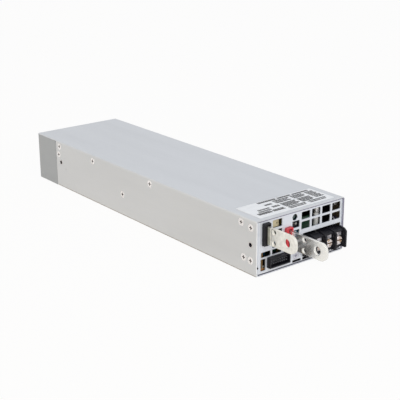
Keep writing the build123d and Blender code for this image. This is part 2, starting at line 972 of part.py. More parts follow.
def board_span():
    """Left and right edges of the main board."""
    return (wall_inside + board_side_gap, case_width - wall_inside - board_side_gap)


def make_main_board():
    """The main circuit board, on its standoffs."""
    board = block(board_span(), (board_start, board_end), (board_low, board_top))
    return board - group(upright(screw_hole_radius, *place, 0, case_height) for place in standoff_places())


def make_insulation_sheet():
    """The insulating film on the base under the main board."""
    height = (chassis_sheet, chassis_sheet + insulation_thickness)
    sheet = block(board_span(), (board_start, board_end), height)
    return sheet - group(upright(standoff_radius, *place, 0, case_height) for place in standoff_places())


def make_standoffs():
    """Threaded standoffs that carry the main board."""
    height = board_low - chassis_sheet
    posts = []
    for place in standoff_places():
        post = upright(standoff_radius, *place, chassis_sheet, height)
        posts.append(post - upright(screw_hole_radius, *place, chassis_sheet, height))
    return group(posts)


def make_board_screws():
    """Screws that hold the main board on its standoffs."""
    screws = []
    for place in standoff_places():
        head = upright(board_screw_head_radius, *place, board_top, board_screw_head_height)
        screw = head + upright(screw_shank_radius, *place, chassis_sheet, board_top - chassis_sheet)
        top = board_top + board_screw_head_height
        cross = Pos(from_left(place[0]), from_front(place[1]), top - recess_depth) * cross_outline()
        screws.append(screw - extrude(cross, amount=recess_depth))
    return group(screws)


def make_panel_screw():
    """The flat countersunk screw in the front panel."""
    place = (from_left(panel_screw_across), from_front(screw_head_depth / 2), panel_screw_up)
    head = Pos(*place) * Rot(-90, 0, 0) * Cone(screw_head_radius, screw_shank_radius, screw_head_depth)
    length = screw_length - screw_head_depth
    place = (panel_screw_across, panel_screw_up)
    screw = head + lengthways(screw_shank_radius, *place, screw_head_depth, length)
    cross = Pos(from_left(panel_screw_across), panel_screw_up) * cross_outline()
    return screw - rearward(cross, -1, 1 + recess_depth)


def make_nut_block():
    """The threaded block on the main board that takes the panel screw."""
    half = nut_size / 2
    across = (panel_screw_across - half, panel_screw_across + half)
    depth = (panel_back, panel_board_start)
    nut = block(across, depth, (board_top, panel_screw_up + half))
    length = panel_back + screw_length
    hole = lengthways(screw_hole_radius, panel_screw_across, panel_screw_up, 0, length)
    sink = Pos(from_left(panel_screw_across), from_front(screw_head_depth / 2), panel_screw_up)
    return nut - hole - sink * Rot(-90, 0, 0) * Cone(screw_head_radius, screw_hole_radius, screw_head_depth)


def make_panel_board():
    """The small upright board behind the panel that carries the lamp, the trimmer and the selector."""
    corners = [
        (panel_board_left, board_top),
        (block_left - panel_board_side_gap, board_top),
        (block_left - panel_board_side_gap, block_top + panel_board_over_block),
        (panel_board_right, block_top + panel_board_over_block),
        (panel_board_right, panel_board_top),
        (panel_board_shoulder, panel_board_top),
        (panel_board_shoulder, panel_board_lamp_top),
        (panel_board_left, panel_board_lamp_top),
    ]
    outline = make_face(Polyline([(from_left(across), up) for across, up in corners], close=True))
    return rearward(outline, panel_board_start, board_thickness)


def make_control_board():
    """The upright control board along the left wall."""
    across = (control_board_left, control_board_left + control_board_thickness)
    start = panel_back + control_board_setback
    return block(across, (start, start + control_board_length), (board_top, control_board_top))


def make_liner():
    """The black insulating film on the inside of the right wall."""
    right = case_width - wall_inside
    height = (board_top, panel_top - tab_top_gap)
    return block((right - liner_thickness, right), liner_span, height)


def make_fan_frame(middle):
    """A fan's square housing: round duct, four struts and the motor's base at the inner end."""
    start = rear_wall - fan_depth
    height = fan_height()
    square = Pos(middle, height) * RectangleRounded(fan_size, fan_size, fan_corner)
    frame = rearward(square, start, fan_depth)
    waist = Pos(middle, height) * (Rectangle(fan_size + 2, fan_size + 2) - Circle(fan_waist_radius()))
    frame -= rearward(waist, start + fan_flange, fan_depth - 2 * fan_flange)
    frame -= lengthways(fan_duct_radius, middle + half_width, height, start, fan_depth)
    spider = Sketch() + Circle(fan_base_radius)
    for strut in range(fan_strut_count // 2):
        turn = 45 + strut * 360 / fan_strut_count
        spider += Rot(0, 0, turn) * Rectangle(2 * fan_duct_radius + 1, fan_strut_width)
    frame += rearward(Pos(middle, height) * spider, start, fan_strut_depth)
    frame += lengthways(tube_radius, middle + half_width, height, start, fan_strut_depth + tube_length())
    frame -= lengthways(bearing_radius, middle + half_width, height, start + bearing_setback, fan_depth)
    for x, z in fan_corners(middle):
        frame -= lengthways(fan_hole_radius, x + half_width, z, start, fan_depth)
    return frame


def fan_waist_radius():
    """Outer radius of a fan housing between its two flanges."""
    return fan_duct_radius + fan_waist_wall


def tube_length():
    """Length of the bearing tube inside the rotor's cup."""
    return hub_length - hub_wall - tube_end_gap


def hub_start():
    """Distance from the front to the open end of the rotors' cups."""
    return rear_wall - hub_face_gap - hub_length


def fan_blade(middle):
    """One twisted blade, from inside the hub's wall to a running gap from the duct."""
    root = hub_radius - blade_root_sink
    tip = fan_duct_radius - blade_tip_gap
    beyond = tip + blade_overshoot
    sections = []
    for radius, angle in ((root, fan_root_angle), (beyond, fan_tip_angle)):
        chord = fan_blade_chord / math.cos(math.radians(angle))
        plane = Plane(origin=(radius, 0, 0), x_dir=(0, 1, 0), z_dir=(1, 0, 0))
        sections.append(plane * Rot(0, 0, 90 - angle) * Rectangle(chord, fan_blade_thickness))
    centre = Pos(middle, from_front(hub_start() + hub_length / 2), fan_height())
    return centre * Rot(-90, 0, 0) * (loft(sections) & Cylinder(tip, hub_length))


def make_fan_rotor(middle):
    """A fan's rotor: a cup closed towards the rear, with twisted blades round it."""
    start = hub_start()
    height = fan_height()
    across = middle + half_width
    cup = lengthways(hub_radius, across, height, start, hub_length)
    cup = fillet(cup.edges().sort_by(Axis.Y)[-1], hub_round)
    first = fan_blade(middle)
    axis = Axis((middle, 0, height), (0, 1, 0))
    cup += [first.rotate(axis, turn * 360 / blade_count) for turn in range(blade_count)]
    cup -= lengthways(hub_radius - hub_wall, across, height, start - 1, hub_length - hub_wall + 1)
    return cup - lengthways(shaft_radius, across, height, start, hub_length)


def make_fan_shaft(middle):
    """A rotor's shaft, from the cup's face into the bearings."""
    start = rear_wall - fan_depth + shaft_setback
    end = hub_start() + hub_length - shaft_face_gap
    return lengthways(shaft_radius, middle + half_width, fan_height(), start, end - start)


def make_fan_bearings():
    """Two bearings in each fan's tube."""
    bearings = []
    start = rear_wall - fan_depth + bearing_setback
    last = start + fan_strut_depth + tube_length() - bearing_setback - bearing_length
    for middle in fan_middles():
        for place in (start, last):
            across = middle + half_width
            ring = lengthways(bearing_radius, across, fan_height(), place, bearing_length)
            bore = lengthways(shaft_radius + shaft_clearance, across, fan_height(), place, bearing_length)
            bearings.append(ring - bore)
    return group(bearings)


def make_fan_stators():
    """The wound stators on the fans' bearing tubes."""
    stators = []
    start = rear_wall - fan_depth + fan_strut_depth + stator_gap
    for middle in fan_middles():
        across = middle + half_width
        ring = lengthways(stator_radius, across, fan_height(), start, stator_length)
        stators.append(ring - lengthways(tube_radius, across, fan_height(), start, stator_length))
    return group(stators)


def make_fan_screws():
    """Screws through the rear wall into the corners of the fans."""
    screws = []
    for middle in fan_middles():
        for x, z in fan_corners(middle):
            across = x + half_width
            head = lengthways(fan_head_radius, across, z, case_length, fan_head_height)
            head = chamfer(head.edges().sort_by(Axis.Y)[-1], fan_head_bevel)
            length = fan_screw_length + bracket_sheet
            screw = head + lengthways(screw_shank_radius, across, z, case_length - length, length)
            end = case_length + fan_head_height
            screws.append(screw - rearward(Pos(x, z) * cross_outline(), end - recess_depth, 1 + recess_depth))
    return group(screws)


def sink_outline(mirrored):
    """The section of a heatsink: a plate on the side wall with fins at its top."""
    left = wall_inside
    high = panel_top - sink_top_gap
    plate = window(left, sink_low, sink_plate, high - sink_low, sink_corner)
    root = left + sink_plate / 2
    reach = sink_fin_reach + sink_plate / 2
    for fin in range(sink_fins):
        low = high - sink_fin_thickness - fin * sink_fin_pitch
        plate += window(root, low, reach, sink_fin_thickness, sink_corner)
    return mirror(plate, about=Plane.YZ) if mirrored else plate


def make_heatsink(span, mirrored):
    """An extruded heatsink along a side wall, drilled for the side screws."""
    sink = rearward(sink_outline(mirrored), span[0], span[1] - span[0])
    return sink - side_cuts()


def make_transistors():
    """Power transistors standing on the board against the heatsinks."""
    pieces = []
    start = wall_inside + sink_plate
    for place in range(transistors_per_sink):
        depth = left_sink_span[0] + transistor_start + place * transistor_pitch
        across = (start, start + transistor_thickness)
        half = transistor_width / 2
        height = (transistor_low, transistor_low + transistor_height)
        body = block(across, (depth - half, depth + half), height)
        body = chamfer(body.edges().filter_by(Axis.Y).sort_by(Axis.X)[-2:], transistor_chamfer)
        for leg in (-1, 0, 1):
            middle = depth + leg * leg_pitch
            reach = (start + leg_setback, start + leg_setback + transistor_leg)
            leg_span = (middle - transistor_leg / 2, middle + transistor_leg / 2)
            body += block(reach, leg_span, (board_top, transistor_low))
        pieces.append(body)
    return both_sides(pieces)


def make_bulk_capacitors():
    """The two mains storage capacitors, lying on the board."""
    up = board_top + bulk_radius
    cans = []
    for start in bulk_starts:
        can = lengthways(bulk_radius, bulk_across, up, start, bulk_length)
        cans.append(chamfer(can.edges().filter_by(GeomType.CIRCLE), bulk_corner))
    return group(cans)


def core_span():
    """Left and right edges of the main transformer's core."""
    return (core_across - core_width / 2, core_across + core_width / 2)


def make_transformer_core():
    """The main transformer's ferrite core: a ring round the winding, joined by its middle limb."""
    depth = (core_start, core_start + core_length)
    height = (board_top, board_top + core_height)
    core = block(core_span(), depth, height)
    left, right = core_span()
    low, high = height[0] + core_limb, height[1] - core_limb
    half = core_limb / 2
    for side in ((left + core_limb, core_across - half), (core_across + half, right - core_limb)):
        core -= block(side, (depth[0] - 1, depth[1] + 1), (low, high))
    return core


def make_transformer_winding():
    """The taped winding round the core's middle limb."""
    reach = (core_width - 2 * core_limb) / 2 - winding_gap
    low = board_top + core_limb + winding_gap
    high = board_top + core_height - core_limb - winding_gap
    end = core_start + core_length
    depth = (core_start - winding_wall, end + winding_wall)
    outer = block((core_across - reach, core_across + reach), depth, (low, high))
    outer = fillet(outer.edges().filter_by(Axis.Z), winding_corner)
    half = core_limb / 2 + winding_gap / 2
    return outer - block((core_across - half, core_across + half), (core_start, end), (0, case_height))


def ring_core(outer, inner, height, across, depth):
    """A flat ring core lying on the board."""
    ring = Cylinder(outer, height) - Cylinder(inner, height)
    return Pos(from_left(across), from_front(depth), board_top + height / 2 + 2 * wire_radius) * ring


def ring_winding(outer, inner, height, turns, across, depth):
    """Square turns of thick wire round a ring core, each its own loop."""
    width = outer - inner + 4 * wire_radius
    tall = height + 4 * wire_radius
    opening = Rectangle(outer - inner + 2 * wire_clearance, height)
    loop = RectangleRounded(width, tall, wire_corner) - opening
    loop = extrude(Plane.XZ.offset(-wire_radius) * Pos((outer + inner) / 2, 0) * loop, amount=2 * wire_radius)
    place = Pos(from_left(across), from_front(depth), board_top + tall / 2)
    return [place * Rot(0, 0, turn * 360 / turns) * loop for turn in range(turns)]


def make_choke_core():
    """The ring core of the input-stage choke."""
    return ring_core(choke_outer_radius, choke_inner_radius, choke_height, choke_across, choke_from_front)


def make_choke_winding():
    """The copper turns of the input-stage choke."""
    size = (choke_outer_radius, choke_inner_radius, choke_height, choke_turns)
    return group(ring_winding(*size, choke_across, choke_from_front))


def make_filter_core():
    """The ring core of the mains filter choke."""
    size = (filter_outer_radius, filter_inner_radius, filter_height)
    return ring_core(*size, filter_across, filter_from_front)


def make_output_capacitors():
    """Output capacitors standing on the main board behind the blades."""
    cans = []
    for across in [share * case_width for share in output_cap_shares]:
        for depth in output_cap_rows:
            can = upright(output_cap_radius, across, depth, board_top, output_cap_height)
            cans.append(chamfer(can.edges().sort_by(Axis.Z)[-1], output_cap_corner))
    return group(cans)


def make_output_choke():
    """The drum-shaped output choke."""
    place = (output_choke_across, output_choke_from_front)
    low = board_top + output_choke_flange
    height = output_choke_height - 2 * output_choke_flange
    drum = upright(output_choke_radius, *place, board_top, output_choke_height)
    core = upright(output_choke_radius - output_choke_groove, *place, low, height)
    return drum - (upright(output_choke_radius + 1, *place, low, height) - core)


def make_varistor():
    """The coated disc varistor on its two leads."""
    start = varistor_across - varistor_thickness / 2
    disc = crossways(varistor_radius, start, varistor_thickness, varistor_from_front, varistor_up)
    disc = fillet(disc.edges().filter_by(GeomType.CIRCLE), varistor_round)
    for side in (-1, 1):
        depth = varistor_from_front + side * varistor_radius / 2
        low = varistor_up - varistor_lead_top
        disc += upright(lead_radius, varistor_across, depth, board_top, low - board_top)
    return disc


def make_small_transformer():
    """The auxiliary transformer, wrapped in tape."""
    size = small_core_size
    across = (small_core_left, small_core_left + size)
    return block(across, (small_core_start, small_core_start + size), (board_top, small_core_top))


def make_fuse():
    """The upright tube fuse with its two end caps and its leads."""
    tube = upright(fuse_radius - fuse_cap_step, fuse_across, fuse_from_front, fuse_up, fuse_length)
    tube += upright(fuse_radius, fuse_across, fuse_from_front, fuse_up, fuse_cap)
    tube += upright(fuse_radius, fuse_across, fuse_from_front, fuse_up + fuse_length - fuse_cap, fuse_cap)
    return tube + upright(lead_radius, fuse_across, fuse_from_front, board_top, fuse_up - board_top)


def on_board(left, depth, size):
    """A boxed component standing on the main board."""
    wide, deep, tall = size
    piece = block((left, left + wide), (depth, depth + deep), (board_top, board_top + tall))
    return fillet(piece.edges().filter_by(Axis.Z), box_corner)


def write_parts():
    """Makes every piece and writes each to its own file."""
    left_fan, right_fan = fan_middles()
    negative = (negative_left, negative_centre)
    positive = (positive_left, positive_centre)
    pieces = {
        "chassis": make_chassis(),
        "top_cover": make_cover(),
        "front_panel": make_front_panel(),
        "rear_bracket": make_rear_bracket(),
        "label_plate": make_label_plate(),
        "side_screws": make_side_screws(),
        "mounting_inserts": make_mounting_inserts(),
        "panel_screw": make_panel_screw(),
        "panel_nut_block": make_nut_block(),
        "negative_blade": make_blade(*negative, negative_reach),
        "positive_blade": make_blade(*positive, positive_reach),
        "negative_collar": make_collar(*negative),
        "positive_collar": make_collar(*positive),
        "terminal_block": make_terminal_block(),
        "contact_plates": make_contact_plates(),
        "terminal_washers": make_terminal_washers(),
        "terminal_screws": make_terminal_screws(),
        "signal_connector": make_connector(),
        "signal_pins": make_pins(),
        "status_lamp": make_lamp(),
        "trimmer_body": make_trimmer_body(),
        "trimmer_rotor": make_trimmer_rotor(),
        "selector_body": make_selector_body(),
        "selector_lever": make_selector_lever(),
        "main_board": make_main_board(),
        "insulation_sheet": make_insulation_sheet(),
        "standoffs": make_standoffs(),
        "board_screws": make_board_screws(),
        "panel_board": make_panel_board(),
        "control_board": make_control_board(),
        "side_liner": make_liner(),
        "left_fan_frame": make_fan_frame(left_fan),
        "right_fan_frame": make_fan_frame(right_fan),
        "left_fan_rotor": make_fan_rotor(left_fan),
        "right_fan_rotor": make_fan_rotor(right_fan),
        "left_fan_shaft": make_fan_shaft(left_fan),
        "right_fan_shaft": make_fan_shaft(right_fan),
        "fan_bearings": make_fan_bearings(),
        "fan_stators": make_fan_stators(),
        "fan_screws": make_fan_screws(),
        "left_heatsink": make_heatsink(left_sink_span, False),
        "right_heatsink": make_heatsink(right_sink_span, True),
        "power_transistors": make_transistors(),
        "bulk_capacitors": make_bulk_capacitors(),
        "transformer_core": make_transformer_core(),
        "transformer_winding": make_transformer_winding(),
        "choke_core": make_choke_core(),
        "choke_winding": make_choke_winding(),
        "filter_core": make_filter_core(),
        "output_capacitors": make_output_capacitors(),
        "output_choke": make_output_choke(),
        "varistor": make_varistor(),
        "auxiliary_transformer": make_small_transformer(),
        "input_fuse": make_fuse(),
        "relay": on_board(relay_left, relay_from_front, relay_size),
        "film_capacitor": on_board(film_left, film_from_front, film_size),
    }
    os.makedirs("parts", exist_ok=True)
    for name, piece in pieces.items():
        export_step(piece, f"parts/{name}.step")


write_parts()
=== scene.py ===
import json
import math

import bmesh
import bpy
from mathutils import Matrix, Vector


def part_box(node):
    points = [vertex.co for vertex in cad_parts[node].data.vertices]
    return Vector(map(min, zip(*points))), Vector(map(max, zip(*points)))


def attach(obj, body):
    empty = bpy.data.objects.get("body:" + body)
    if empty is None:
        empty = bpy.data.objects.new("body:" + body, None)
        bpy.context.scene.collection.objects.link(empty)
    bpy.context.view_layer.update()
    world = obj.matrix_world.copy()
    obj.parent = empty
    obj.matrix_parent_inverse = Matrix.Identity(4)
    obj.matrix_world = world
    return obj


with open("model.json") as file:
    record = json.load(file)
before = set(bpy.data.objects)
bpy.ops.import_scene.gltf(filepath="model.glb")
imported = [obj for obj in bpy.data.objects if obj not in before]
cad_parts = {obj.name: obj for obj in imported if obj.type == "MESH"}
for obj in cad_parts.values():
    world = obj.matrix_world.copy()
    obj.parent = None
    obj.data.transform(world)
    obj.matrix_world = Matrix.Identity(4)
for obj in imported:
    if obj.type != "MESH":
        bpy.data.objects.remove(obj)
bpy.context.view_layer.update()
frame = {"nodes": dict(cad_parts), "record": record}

# The camera stands in front of the left corner, in metres and degrees in the row frame.
camera_place = (-0.45515, -0.61508, 0.27023)
camera_azimuth = -38.0513
camera_elevation = 18.9555
camera_roll = -0.3173
camera_lens = 87.87
camera_sensor = 36.0
camera_range = (0.01, 20)

# Light levels, and the lamps as (name, place, side in metres, power, colour)
background_level = 1.0
floor_glow = 0.95
room_level = 0.62
room_above = (0.74, 0.89, 1.19, 1.0)
room_around = (1.06, 0.94, 0.74, 1.0)
lamps = (
    ("key", (-0.2, -1.2, 0.7), 0.9, 8.3, (0.93, 0.98, 1.0)),
    ("fill", (-1.1, 0.1, 0.5), 0.8, 3.5, (1.0, 0.84, 0.54)),
)

# The floor: half its side and how far it lies under the case, in metres
floor_reach = 3
floor_drop = 0.0002

# Finishes: the span of noise over which tones and roughness drift, how squarely a face must look along the
# flat direction, the share of open view over which a hollow takes its painted shade and how far that view
# reaches, the height of the fine bump, the samples of rounded edges and hollows, and how rolled sheet's grain
# and a board's copper runs are drawn out
noise_span = (0.3, 0.7)
facing_limit = 0.7
open_span = (0.5, 0.9)
hollow_reach = 0.0012
bump_height = 0.0001
edge_samples = 4
hollow_samples = 8
sheet_grain = (1, 0.12, 1)
run_draw = (1, 1, 0.4)

# Generic rows of bars on the label plate: height over the plate, sink into it, length, spread of the length
# and gap in metres, the turn of the wave that spreads the lengths, then each row's left end, right end, place
# up the plate and thickness, as shares of the plate's width and depth
bar_height = 0.00004
bar_sink = 0.00001
bar_length = 0.0011
bar_spread = 0.0006
bar_gap = 0.00028
bar_turn = 3.7
bar_rows = (
    (0.26, 0.50, 0.87, 0.100),
    (0.52, 0.70, 0.87, 0.090),
    (0.72, 0.94, 0.87, 0.080),
    (0.42, 0.64, 0.775, 0.064),
    (0.66, 0.82, 0.775, 0.064),
    (0.42, 0.60, 0.695, 0.064),
    (0.66, 0.83, 0.695, 0.064),
    (0.42, 0.62, 0.615, 0.064),
    (0.66, 0.80, 0.615, 0.064),
    (0.86, 0.97, 0.775, 0.058),
    (0.86, 0.96, 0.700, 0.058),
    (0.86, 0.97, 0.625, 0.058),
    (0.86, 0.95, 0.550, 0.058),
    (0.86, 0.97, 0.475, 0.058),
    (0.86, 0.96, 0.400, 0.058),
    (0.86, 0.97, 0.325, 0.058),
    (0.28, 0.37, 0.640, 0.090),
    (0.31, 0.40, 0.420, 0.100),
    (0.12, 0.27, 0.440, 0.070),
    (0.10, 0.26, 0.330, 0.070),
    (0.43, 0.63, 0.490, 0.064),
    (0.66, 0.83, 0.500, 0.064),
    (0.43, 0.61, 0.415, 0.064),
    (0.66, 0.82, 0.425, 0.064),
    (0.43, 0.64, 0.340, 0.064),
    (0.66, 0.83, 0.350, 0.064),
    (0.43, 0.60, 0.265, 0.064),
    (0.66, 0.80, 0.275, 0.064),
    (0.05, 0.22, 0.170, 0.130),
    (0.24, 0.39, 0.170, 0.130),
    (0.43, 0.66, 0.165, 0.064),
    (0.70, 0.94, 0.180, 0.058),
    (0.43, 0.64, 0.085, 0.058),
    (0.70, 0.92, 0.100, 0.058),
)

# Round pieces: the sides of a rod, and the sides and rings of a ball
rod_sides = 40
ball_sides = 32
ball_rings = 16

# The lamp's lens, a flat dome behind its hole, in metres
lens_radius = 0.0021
lens_depth = 0.0009

# The flat black disc of painted shade that stands for the small hole at the panel's left edge: its radius and
# depth in metres, its place in millimetres
edge_hole_radius = 0.0007
edge_hole_depth = 0.00008
edge_hole_place = (1.5, 0.0, 6.4)

# The small pieces below are measured in millimetres from the case's left side, its front and its base.
per_metre = 1000

# The case's sheet, then the painted gap shade round the panel and the painted shade and highlight strips on
# the cover's edges: how far they keep from the panel's ends, stand out of it, sink into it and lap over it
sheet = 0.8
painted_strip_inset = 0.3
painted_strip_lift = 0.05
painted_strip_sink = 0.02
painted_strip_lap = 0.15

# The strip of painted shade on the cover's lower left fold
fold_height = 0.6
fold_end = 267.0

# The strip of painted shade and reflection on the left blade's root face: half its thickness, its ends in
# depth and in height
root_shade_skin = 0.05
root_reach = (-4.6, -1.9)
root_height = (23.2, 35.9)

# Insulating films behind the right windows: the near one from its start to the split, the far one from there
film_gap = 0.05
film_thickness = 0.3
film_start = 1.2
film_split = 9.6
film_low = 5.2
film_high = 38.4

# An arrester tube on a lead behind the windows: its place across and in depth, then (radius, low end, high
# end) of its lead, body and cap
tube_place = (61.9, 5.5)
tube_lead = (0.4, 4.8, 20.6)
tube_body = (1.8, 20.6, 32.4)
tube_cap = (1.8, 32.4, 37.4)

# Blocks behind the windows, as (lowest corner, highest corner)
coil_boxes = (((16.3, 2.4, 32.4), (22.6, 8.6, 37.9)),)
# The coil's end blocks: the first is painted shade on the coil's right end, the second a small dark pin on
# its front face.
coil_shade_and_pin_boxes = (((22.6, 2.6, 32.4), (24.0, 8.6, 37.9)), ((20.5, 2.3, 34.6), (21.3, 2.4, 35.7)))
riser_boxes = (((24.0, 5.2, 4.9), (25.0, 12.6, 38.0)),)
# A black sheet behind the tube: painted shade inside the case.
tube_shade_boxes = (((60.4, 9.2, 4.8), (72.0, 9.5, 38.4)),)
# Black blocks beside the selector: painted shade around the switch.
selector_shade_boxes = (((40.2, 1.7, 27.4), (41.8, 6.6, 34.0)), ((40.6, 1.7, 25.0), (41.8, 6.6, 27.2)))
chip_boxes = (
    ((7.7, 2.2, 4.8), (8.5, 3.4, 5.6)),
    ((8.9, 2.4, 4.8), (9.7, 3.2, 5.9)),
    ((8.0, 4.2, 4.8), (9.4, 5.2, 6.2)),
    ((13.0, 7.0, 4.8), (15.4, 8.4, 6.4)),
    ((21.8, 9.0, 4.8), (23.8, 10.6, 6.8)),
)

# The screen's curve between written and linear values
curve_knee = 0.04045
curve_slope = 12.92
curve_offset = 0.055
curve_power = 2.4


def linear_share(value):
    """A share of full brightness, from a value written as 0 to 255 on a screen."""
    share = value / 255
    if share <= curve_knee:
        return share / curve_slope
    return ((share + curve_offset) / (1 + curve_offset)) ** curve_power


def linear(red, green, blue):
    """A colour written as 0 to 255 on a screen, as Blender's linear values."""
    return (*[linear_share(value) for value in (red, green, blue)], 1.0)


class Finish:
    """A procedural material: two tones and a roughness that drift, over rounded edges and a fine bump."""

    def __init__(self, name):
        self.material = bpy.data.materials.new(name)
        self.material.use_nodes = True
        self.tree = self.material.node_tree
        self.shader = self.tree.nodes["Principled BSDF"]
        self.place = self.node("ShaderNodeTexCoord")

    def node(self, kind, **values):
        """A new node: a value goes to the input of its name, or else to the setting of its name."""
        made = self.tree.nodes.new(kind)
        for name, value in values.items():
            if name in made.inputs:
                made.inputs[name].default_value = value
            else:
                setattr(made, name.lower().replace(" ", "_"), value)
        return made

    def link(self, start, end):
        """Joins an output to an input."""
        self.tree.links.new(start, end)

    def noise(self, scale, stretch=(1, 1, 1), detail=4.0):
        """Noise in the object's own space, drawn out along an axis where stretch is small."""
        mapping = self.node("ShaderNodeMapping", Scale=stretch)
        cloud = self.node("ShaderNodeTexNoise", Scale=scale, Detail=detail)
        self.link(self.place.outputs["Object"], mapping.inputs["Vector"])
        self.link(mapping.outputs["Vector"], cloud.inputs["Vector"])
        return cloud.outputs["Fac"]

    def tones(self, dark, light, scale, stretch=(1, 1, 1)):
        """The base colour drifts between two tones."""
        ramp = self.node("ShaderNodeValToRGB")
        for end, place, tone in zip(ramp.color_ramp.elements, noise_span, (dark, light)):
            end.position = place
            end.color = linear(*tone)
        self.link(self.noise(scale, stretch), ramp.inputs["Fac"])
        self.link(ramp.outputs["Color"], self.shader.inputs["Base Color"])
        return ramp

    def spread(self, start, end, low=0, high=1):
        """Carries the span from start to end over to the span from low to high."""
        spread = self.node("ShaderNodeMapRange")
        spread.inputs["From Min"].default_value = start
        spread.inputs["From Max"].default_value = end
        spread.inputs["To Min"].default_value = low
        spread.inputs["To Max"].default_value = high
        return spread

    def roughness(self, low, high, scale, stretch=(1, 1, 1)):
        """The roughness drifts between two values."""
        spread = self.spread(*noise_span, low, high)
        self.link(self.noise(scale, stretch), spread.inputs["Value"])
        self.link(spread.outputs["Result"], self.shader.inputs["Roughness"])

    def relief(self, strength, scale, stretch=(1, 1, 1), edge=0.0002):
        """A fine bump over edges that catch the light as if rounded."""
        rounded = self.node("ShaderNodeBevel", Radius=edge)
        rounded.samples = edge_samples
        bump = self.node("ShaderNodeBump", Strength=strength, Distance=bump_height)
        self.link(self.noise(scale, stretch, detail=6.0), bump.inputs["Height"])
        self.link(rounded.outputs["Normal"], bump.inputs["Normal"])
        self.link(bump.outputs["Normal"], self.shader.inputs["Normal"])

    def edges(self, ramp, flat, tone):
        """Faces that don't look along the flat direction take another tone."""
        shape = self.node("ShaderNodeNewGeometry")
        facing = self.node("ShaderNodeVectorMath", Operation="DOT_PRODUCT")
        facing.inputs[1].default_value = flat
        size = self.node("ShaderNodeMath", Operation="ABSOLUTE")
        edge = self.node("ShaderNodeMath", Operation="LESS_THAN")
        edge.inputs[1].default_value = facing_limit
        mix = self.node("ShaderNodeMixRGB")
        mix.inputs[2].default_value = linear(*tone)
        self.link(shape.outputs["Normal"], facing.inputs[0])
        self.link(facing.outputs["Value"], size.inputs[0])
        self.link(size.outputs[0], edge.inputs[0])
        self.link(edge.outputs[0], mix.inputs[0])
        self.link(ramp.outputs["Color"], mix.inputs[1])
        self.link(mix.outputs[0], self.shader.inputs["Base Color"])

    def painted_hollow_shade(self, ramp, tone):
        """Painted shade: slots and recesses darken towards a tone of their own where little open view reaches
        them.
        """
        shade = self.node("ShaderNodeAmbientOcclusion", Distance=hollow_reach)
        shade.samples = hollow_samples
        spread = self.spread(*open_span)
        mix = self.node("ShaderNodeMixRGB")
        mix.inputs[1].default_value = linear(*tone)
        self.link(shade.outputs["AO"], spread.inputs["Value"])
        self.link(spread.outputs["Result"], mix.inputs[0])
        self.link(ramp.outputs["Color"], mix.inputs[2])
        self.link(mix.outputs[0], self.shader.inputs["Base Color"])

    def sockets(self, **values):
        """Values set on the shader itself."""
        for name, value in values.items():
            self.shader.inputs[name.replace("_", " ")].default_value = value


def sheet_metal(name, dark, light, metallic=0.5, low=0.4, high=0.48):
    """Rolled sheet: faint cloudy tones and a very fine grain drawn out along one axis."""
    finish = Finish(name)
    finish.tones(dark, light, scale=55, stretch=sheet_grain)
    finish.roughness(low, high, scale=900, stretch=sheet_grain)
    finish.relief(strength=0.02, scale=1800, stretch=sheet_grain, edge=0.0004)
    finish.sockets(Metallic=metallic)
    return finish.material


def bright_metal(name, dark, light, low=0.16, high=0.3, scale=120):
    """Plated or ground metal."""
    finish = Finish(name)
    finish.tones(dark, light, scale)
    finish.roughness(low, high, scale)
    finish.relief(strength=0.03, scale=900, edge=0.0003)
    finish.sockets(Metallic=1.0)
    return finish.material


def screw_metal(name, dark, light, hollow_shade, scale=120):
    """Plated screws with painted shade in their recesses."""
    finish = Finish(name)
    finish.painted_hollow_shade(finish.tones(dark, light, scale), hollow_shade)
    finish.roughness(low=0.18, high=0.32, scale=scale)
    finish.relief(strength=0.03, scale=900, edge=0.0003)
    finish.sockets(Metallic=0.8)
    return finish.material


def insert_metal(name, dark, light, bore_shade):
    """Bright end faces round bores in painted shade."""
    finish = Finish(name)
    finish.edges(finish.tones(dark, light, scale=300), flat=(1, 0, 0), tone=bore_shade)
    finish.roughness(low=0.3, high=0.4, scale=300)
    finish.relief(strength=0.03, scale=900)
    return finish.material


def moulded(name, dark, light, low=0.35, high=0.5, coat=0.0, shine=0.5):
    """Moulded plastic, epoxy or sleeve."""
    finish = Finish(name)
    finish.tones(dark, light, scale=220)
    finish.roughness(low, high, scale=350)
    finish.relief(strength=0.08, scale=2500, edge=0.0003)
    finish.sockets(Coat_Weight=coat, Coat_Roughness=0.15, Specular_IOR_Level=shine)
    return finish.material


def solder_mask(name, flat=(0, 0, 1), laminate=(146, 100, 52)):
    """Green board with lighter copper runs under its mask, and a bare laminate edge."""
    finish = Finish(name)
    ramp = finish.tones(dark=(24, 66, 44), light=(62, 120, 84), scale=330, stretch=run_draw)
    ramp.color_ramp.interpolation = "CONSTANT"
    finish.edges(ramp, flat, laminate)
    finish.roughness(low=0.25, high=0.4, scale=300)
    finish.relief(strength=0.25, scale=330, stretch=run_draw)
    finish.sockets(Coat_Weight=0.3)
    return finish.material


